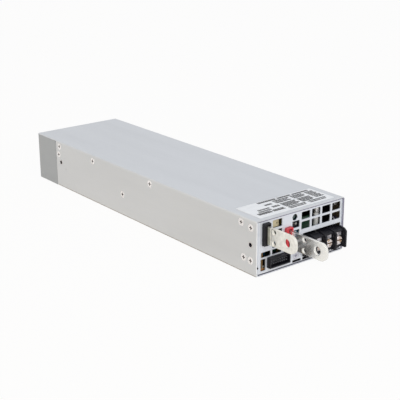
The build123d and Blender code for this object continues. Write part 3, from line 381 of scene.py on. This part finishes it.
def make_own_finishes():
    """Finishes of single nodes that differ from their slot's."""
    return {
        # The inserts' last tone is painted shade inside their bores.
        "mounting_inserts": insert_metal("insert_plating", (238, 236, 240), (246, 244, 248), (36, 32, 48)),
        # The contact plates' tones run from dark grey to near white in patches: painted highlights and shade.
        "contact_plates": moulded(
            "contact_plating_painted_light", (96, 92, 98), (252, 248, 254), low=0.2, high=0.3, coat=0.4
        ),
        "positive_blade": sheet_metal(
            "positive_tinning", (228, 227, 222), (244, 242, 237), metallic=0.84, low=0.17, high=0.21
        ),
        "panel_screw": sheet_metal("panel_screw_plating", (202, 202, 211), (210, 210, 219)),
        # The terminal screws' last tone is painted shade in their slots.
        "terminal_screws": screw_metal(
            "terminal_plating", (150, 124, 92), (250, 246, 250), (150, 118, 80), scale=420
        ),
        "panel_board": solder_mask("panel_board_mask", flat=(0, 1, 0), laminate=(40, 80, 54)),
        # The white selector lever gets a grey tone: painted shade.
        "selector_lever": moulded("selector_lever_shaded", (138, 136, 132), (160, 158, 152)),
        "trimmer_body": moulded("trimmer_case", (8, 56, 80), (18, 84, 112), low=0.3, high=0.4, coat=0.3),
        "control_board": solder_mask("control_board_mask", flat=(1, 0, 0), laminate=(116, 86, 42)),
    }


def make_finishes():
    """One material for each of the record's slots."""
    return {
        "cover_aluminium": sheet_metal("cover_aluminium", (204, 206, 209), (209, 211, 214)),
        "chassis_aluminium": sheet_metal("chassis_aluminium", (214, 217, 224), (219, 222, 229), metallic=0.4),
        "bracket_steel": sheet_metal("bracket_steel", (164, 167, 170), (169, 172, 175), metallic=0.5),
        "label_white": moulded("label_white", (238, 237, 235), (245, 244, 242), low=0.4, high=0.5),
        # The screws' last tone, a dark brown, is painted shade in their recesses.
        "screw_steel": screw_metal("screw_steel", (224, 220, 217), (244, 241, 240), (112, 84, 76)),
        "tinned_copper": bright_metal(
            "tinned_copper", (218, 216, 208), (244, 241, 234), low=0.36, high=0.46, scale=420
        ),
        "black_plastic": moulded("black_plastic", (17, 16, 22), (26, 25, 32), low=0.42, high=0.52, shine=0.3),
        "red_plastic": moulded("red_plastic", (192, 32, 46), (216, 48, 62), low=0.3, high=0.4, coat=0.3),
        "contact_metal": bright_metal("contact_metal", (206, 204, 200), (230, 228, 224), low=0.14, high=0.24),
        "pin_metal": moulded("pin_metal", (84, 84, 90), (118, 118, 124), low=0.3, high=0.4),
        "lamp_green": moulded("lamp_green", (30, 104, 98), (54, 140, 130), low=0.08, high=0.14, coat=1.0),
        "blue_plastic": moulded("blue_plastic", (14, 84, 128), (28, 116, 164), low=0.3, high=0.4, coat=0.3),
        "white_plastic": moulded("white_plastic", (222, 220, 212), (238, 236, 228)),
        "board_green": solder_mask("board_green"),
        "film_black": moulded("film_black", (12, 12, 14), (20, 20, 22), low=0.5, high=0.6, shine=0.15),
        "brass": bright_metal("brass", (176, 148, 84), (206, 178, 108)),
        "fan_black": moulded("fan_black", (24, 24, 26), (34, 34, 36), low=0.45, high=0.55, shine=0.3),
        "bearing_steel": bright_metal("bearing_steel", (180, 182, 184), (206, 208, 210), low=0.1, high=0.2),
        "copper_wire": bright_metal("copper_wire", (168, 92, 48), (206, 124, 70), low=0.2, high=0.32),
        "heatsink_aluminium": sheet_metal(
            "heatsink_aluminium", (170, 173, 177), (192, 195, 199), metallic=0.7
        ),
        "component_black": moulded(
            "component_black", (16, 16, 19), (26, 26, 29), low=0.45, high=0.6, shine=0.2
        ),
        "capacitor_sleeve": moulded(
            "capacitor_sleeve", (18, 20, 30), (30, 34, 48), low=0.3, high=0.4, coat=0.1, shine=0.3
        ),
        "ferrite": moulded("ferrite", (54, 54, 58), (74, 74, 78), low=0.5, high=0.65),
        "tape_yellow": moulded("tape_yellow", (206, 178, 92), (230, 206, 128), low=0.25, high=0.35, coat=0.4),
        "fuse_ceramic": moulded(
            "fuse_ceramic", (240, 237, 232), (250, 248, 244), low=0.15, high=0.25, coat=0.6
        ),
    }


def dress_nodes(finishes):
    """Gives every CAD node its own finish, or the finish of its slot."""
    own = make_own_finishes()
    for part in frame["record"]["subparts"]:
        node = frame["nodes"][part["node"]]
        node.data.materials.clear()
        node.data.materials.append(own.get(part["node"], finishes[part["material_slot"]]))


def add_form(name, form, material):
    """One piece of a finished form, which rides on the case."""
    mesh = bpy.data.meshes.new(name)
    form.to_mesh(mesh)
    form.free()
    mesh.materials.append(material)
    piece = bpy.data.objects.new(name, mesh)
    bpy.context.scene.collection.objects.link(piece)
    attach(piece, "case")


def add_blocks(name, blocks, material):
    """One piece made of blocks given as (lowest corner, highest corner) in metres."""
    form = bmesh.new()
    for low, high in blocks:
        size = Vector(high) - Vector(low)
        middle = (Vector(high) + Vector(low)) / 2
        place = Matrix.Translation(middle) @ Matrix.Diagonal((*size, 1))
        bmesh.ops.create_cube(form, size=1, matrix=place)
    add_form(name, form, material)


def at(across, depth, up):
    """A place in metres, from millimetres from the case's left side, its front and its base."""
    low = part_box("top_cover")[0]
    return (low.x + across / per_metre, low.y + depth / per_metre, up / per_metre)


def from_left(place):
    """How far a place lies from the case's left side, in millimetres."""
    return (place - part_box("top_cover")[0].x) * per_metre


def small_piece(name, boxes, material):
    """One small piece made of blocks given in millimetres."""
    add_blocks(name, [(at(*low), at(*high)) for low, high in boxes], material)


def add_rods(name, rods, material):
    """Upright round rods at the tube's place, given as (radius, low end, high end)."""
    form = bmesh.new()
    for radius, low, high in rods:
        bmesh.ops.create_cone(
            form,
            cap_ends=True,
            segments=rod_sides,
            radius1=radius / per_metre,
            radius2=radius / per_metre,
            depth=(high - low) / per_metre,
            matrix=Matrix.Translation(at(*tube_place, (low + high) / 2)),
        )
    add_form(name, form, material)


def add_ball(name, middle, radius, depth, material):
    """A ball flattened from front to back."""
    form = bmesh.new()
    place = Matrix.Translation(middle) @ Matrix.Diagonal((radius, depth, radius, 1))
    bmesh.ops.create_uvsphere(form, u_segments=ball_sides, v_segments=ball_rings, radius=1, matrix=place)
    for face in form.faces:
        face.smooth = True
    add_form(name, form, material)


def add_gap_shades():
    """Strips of painted shade along the gaps under and over the panel."""
    low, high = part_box("front_panel")
    left = from_left(low.x) + painted_strip_inset
    right = from_left(high.x) - painted_strip_inset
    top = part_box("top_cover")[1].z * per_metre - sheet
    under = ((left, -painted_strip_lift, sheet), (right, painted_strip_sink, low.z * per_metre + painted_strip_lap))
    over = ((left, -painted_strip_lift, high.z * per_metre - painted_strip_lap), (right, painted_strip_sink, top + painted_strip_lap))
    small_piece("lower_gap_shade", [under], moulded("lower_gap_shade", (40, 38, 58), (56, 54, 76)))
    tone = moulded("upper_gap_shade", (112, 108, 132), (128, 124, 148))
    small_piece("upper_gap_shade", [over], tone)


def add_edge_light_strips():
    """Thin strips of painted light: shade on the cover's right front edge and lower left fold, a highlight on
    its left front edge.
    """
    low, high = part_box("top_cover")
    foot = low.z * per_metre
    top = high.z * per_metre - sheet
    panel_end = from_left(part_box("front_panel")[1].x)
    right = ((panel_end + painted_strip_lap, -painted_strip_lift, foot + sheet), (panel_end + 2 * sheet, painted_strip_sink, top))
    left = ((0, -painted_strip_lift, foot + sheet), (sheet, painted_strip_sink, top))
    fold = ((-painted_strip_lift / 2, sheet, foot), (painted_strip_sink, fold_end, foot + fold_height))
    for name, box, dark, light in (
        ("right_edge_shade", right, (122, 118, 136), (136, 132, 150)),
        ("left_edge_highlight", left, (242, 242, 244), (250, 250, 252)),
        ("lower_fold_shade", fold, (166, 162, 157), (176, 172, 167)),
    ):
        small_piece(name, [box], moulded(name, dark, light))


def add_root_shade():
    """A darker greenish grey strip of painted shade and reflection on the left blade's root face."""
    face = from_left(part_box("negative_blade")[0].x)
    front, back = root_reach
    low, high = root_height
    root = ((face - root_shade_skin, front, low), (face + root_shade_skin, back, high))
    small_piece("root_shade_skin", [root], moulded("root_shade_skin", (168, 172, 164), (190, 192, 184)))


def add_films(finishes):
    """Insulating films along the case's right side, behind the windows."""
    outside = from_left(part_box("front_panel")[1].x) - sheet - film_gap
    inside = outside - film_thickness
    far_end = (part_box("side_liner")[0].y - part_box("top_cover")[0].y) * per_metre
    near = ((inside, film_start, film_low), (outside, film_split, film_high))
    far = ((inside, film_split, film_low), (outside, far_end, film_high))
    tone = moulded("near_film", (16, 13, 11), (112, 98, 78), low=0.5, high=0.6, shine=0.15)
    small_piece("near_film", [near], tone)
    small_piece("far_film", [far], finishes["film_black"])


def add_small_parts(finishes):
    """Little parts behind the windows: a coil on a board with a pin and painted shade at its end, a tube,
    black pieces of painted shade behind the tube and beside the selector, and chips.
    """
    coil = moulded("coil_body", (172, 160, 128), (206, 193, 160), low=0.4, high=0.5)
    small_piece("riser_coil", coil_boxes, coil)
    small_piece("coil_shade_and_pins", coil_shade_and_pin_boxes, moulded("coil_shade_and_pin_tone", (34, 28, 20), (58, 46, 30)))
    small_piece("riser_board", riser_boxes, solder_mask("riser_mask", flat=(1, 0, 0)))
    add_rods("arrester_body", [tube_body], finishes["fuse_ceramic"])
    add_rods("arrester_metal", [tube_lead, tube_cap], finishes["screw_steel"])
    small_piece("tube_backing_shade", tube_shade_boxes, finishes["film_black"])
    small_piece("selector_side_shade", selector_shade_boxes, finishes["film_black"])
    chips = moulded("chip_body", (120, 120, 122), (206, 204, 200))
    small_piece("board_chips", chip_boxes, chips)


def add_lamp_lens():
    """The lamp's tinted lens in front of the lamp, behind its hole."""
    low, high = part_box("status_lamp")
    lens = moulded("lamp_lens", (12, 34, 34), (26, 62, 60), low=0.06, high=0.1, coat=1.0)
    middle = ((low.x + high.x) / 2, low.y, (low.z + high.z) / 2)
    add_ball("lamp_lens", middle, lens_radius, lens_depth, lens)


def add_edge_hole_shade(finishes):
    """A flat black disc of painted shade where a small hole sits at the foot of the panel's left edge."""
    middle = at(*edge_hole_place)
    add_ball("edge_hole_shade", middle, edge_hole_radius, edge_hole_depth, finishes["film_black"])


def row_bars(start, end, low, high, turn):
    """A row's bars from its start to its end: short strokes of uneven length."""
    bars = []
    while start < end:
        turn += 1
        stop = min(start + bar_length + bar_spread * math.sin(bar_turn * turn), end)
        bars.append(((start, *low), (stop, *high)))
        start = stop + bar_gap
    return bars


def label_marks():
    """Rows of plain dark bars on the label plate."""
    low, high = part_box("label_plate")
    width, depth = high.x - low.x, high.y - low.y
    bars = []
    for left, right, row, tall in bar_rows:
        front = (low.y + row * depth, high.z - bar_sink)
        back = (low.y + (row + tall) * depth, high.z + bar_height)
        bars += row_bars(low.x + left * width, low.x + right * width, front, back, len(bars))
    ink = moulded("label_ink", (8, 8, 11), (24, 24, 28), low=0.4, high=0.5)
    add_blocks("label_bars", bars, ink)


def add_camera():
    """The camera at the photograph's viewing angle."""
    data = bpy.data.cameras.new("camera")
    data.lens = camera_lens
    data.sensor_width = camera_sensor
    data.clip_start, data.clip_end = camera_range
    camera = bpy.data.objects.new("camera", data)
    turn = Matrix.Rotation(math.radians(camera_azimuth), 4, "Z")
    tilt = Matrix.Rotation(math.radians(90 - camera_elevation), 4, "X")
    roll = Matrix.Rotation(math.radians(camera_roll), 4, "Z")
    camera.matrix_world = Matrix.Translation(camera_place) @ turn @ tilt @ roll
    bpy.context.scene.collection.objects.link(camera)
    bpy.context.scene.camera = camera


def seen_directly(tree):
    """1 for rays that come from the camera, or by way of metal and glass."""
    path = tree.nodes.new("ShaderNodeLightPath")
    seen = path.outputs["Is Camera Ray"]
    for name in ("Is Glossy Ray", "Is Transmission Ray"):
        either = tree.nodes.new("ShaderNodeMath")
        either.operation = "MAXIMUM"
        tree.links.new(seen, either.inputs[0])
        tree.links.new(path.outputs[name], either.inputs[1])
        seen = either.outputs[0]
    return seen


def add_world():
    """A soft even room, with white behind the object."""
    world = bpy.data.worlds.new("room")
    bpy.context.scene.world = world
    world.use_nodes = True
    tree = world.node_tree
    tree.nodes.clear()
    room = tree.nodes.new("ShaderNodeBackground")
    room.inputs["Strength"].default_value = room_level
    way = tree.nodes.new("ShaderNodeTexCoord")
    height = tree.nodes.new("ShaderNodeSeparateXYZ")
    tone = tree.nodes.new("ShaderNodeValToRGB")
    tone.color_ramp.elements[0].color = room_around
    tone.color_ramp.elements[1].color = room_above
    tree.links.new(way.outputs["Generated"], height.inputs[0])
    tree.links.new(height.outputs["Z"], tone.inputs["Fac"])
    tree.links.new(tone.outputs["Color"], room.inputs["Color"])
    white = tree.nodes.new("ShaderNodeBackground")
    white.inputs["Color"].default_value = (1, 1, 1, 1)
    white.inputs["Strength"].default_value = background_level
    mix = tree.nodes.new("ShaderNodeMixShader")
    out = tree.nodes.new("ShaderNodeOutputWorld")
    tree.links.new(seen_directly(tree), mix.inputs["Fac"])
    tree.links.new(room.outputs[0], mix.inputs[1])
    tree.links.new(white.outputs[0], mix.inputs[2])
    tree.links.new(mix.outputs[0], out.inputs["Surface"])


def add_lamp(name, place, size, power, colour):
    """A square soft lamp that looks at the middle of the object."""
    data = bpy.data.lights.new(name, "AREA")
    data.shape = "SQUARE"
    data.size = size
    data.energy = power
    data.color = colour
    lamp = bpy.data.objects.new(name, data)
    lamp.location = place
    lamp.rotation_mode = "QUATERNION"
    lamp.rotation_quaternion = (-Vector(place)).to_track_quat("-Z", "Y")
    bpy.context.scene.collection.objects.link(lamp)


def add_floor():
    """A pale floor that looks white from the camera and keeps a faint shadow under the object."""
    mesh = bpy.data.meshes.new("floor")
    form = bmesh.new()
    bmesh.ops.create_grid(form, x_segments=1, y_segments=1, size=floor_reach)
    form.to_mesh(mesh)
    form.free()
    floor = bpy.data.objects.new("floor", mesh)
    floor.location.z = -floor_drop
    bpy.context.scene.collection.objects.link(floor)
    finish = Finish("floor")
    finish.tones(dark=(218, 207, 192), light=(223, 212, 197), scale=3)
    finish.roughness(low=0.7, high=0.9, scale=5)
    glow = finish.node("ShaderNodeEmission", Strength=1.0)
    mix = finish.node("ShaderNodeMixShader")
    share = finish.node("ShaderNodeMath", Operation="MULTIPLY")
    share.inputs[1].default_value = floor_glow
    finish.link(seen_directly(finish.tree), share.inputs[0])
    finish.link(share.outputs[0], mix.inputs["Fac"])
    finish.link(finish.shader.outputs[0], mix.inputs[1])
    finish.link(glow.outputs[0], mix.inputs[2])
    finish.link(mix.outputs[0], finish.tree.nodes["Material Output"].inputs["Surface"])
    mesh.materials.append(finish.material)


def make_scene():
    """Dresses the frame, adds what the CAD leaves out, and lights it."""
    finishes = make_finishes()
    dress_nodes(finishes)
    add_gap_shades()
    add_edge_light_strips()
    add_root_shade()
    add_films(finishes)
    add_small_parts(finishes)
    add_lamp_lens()
    add_edge_hole_shade(finishes)
    label_marks()
    add_camera()
    add_world()
    add_floor()
    for lamp in lamps:
        add_lamp(*lamp)
    bpy.context.scene.view_settings.view_transform = "Standard"


make_scene()
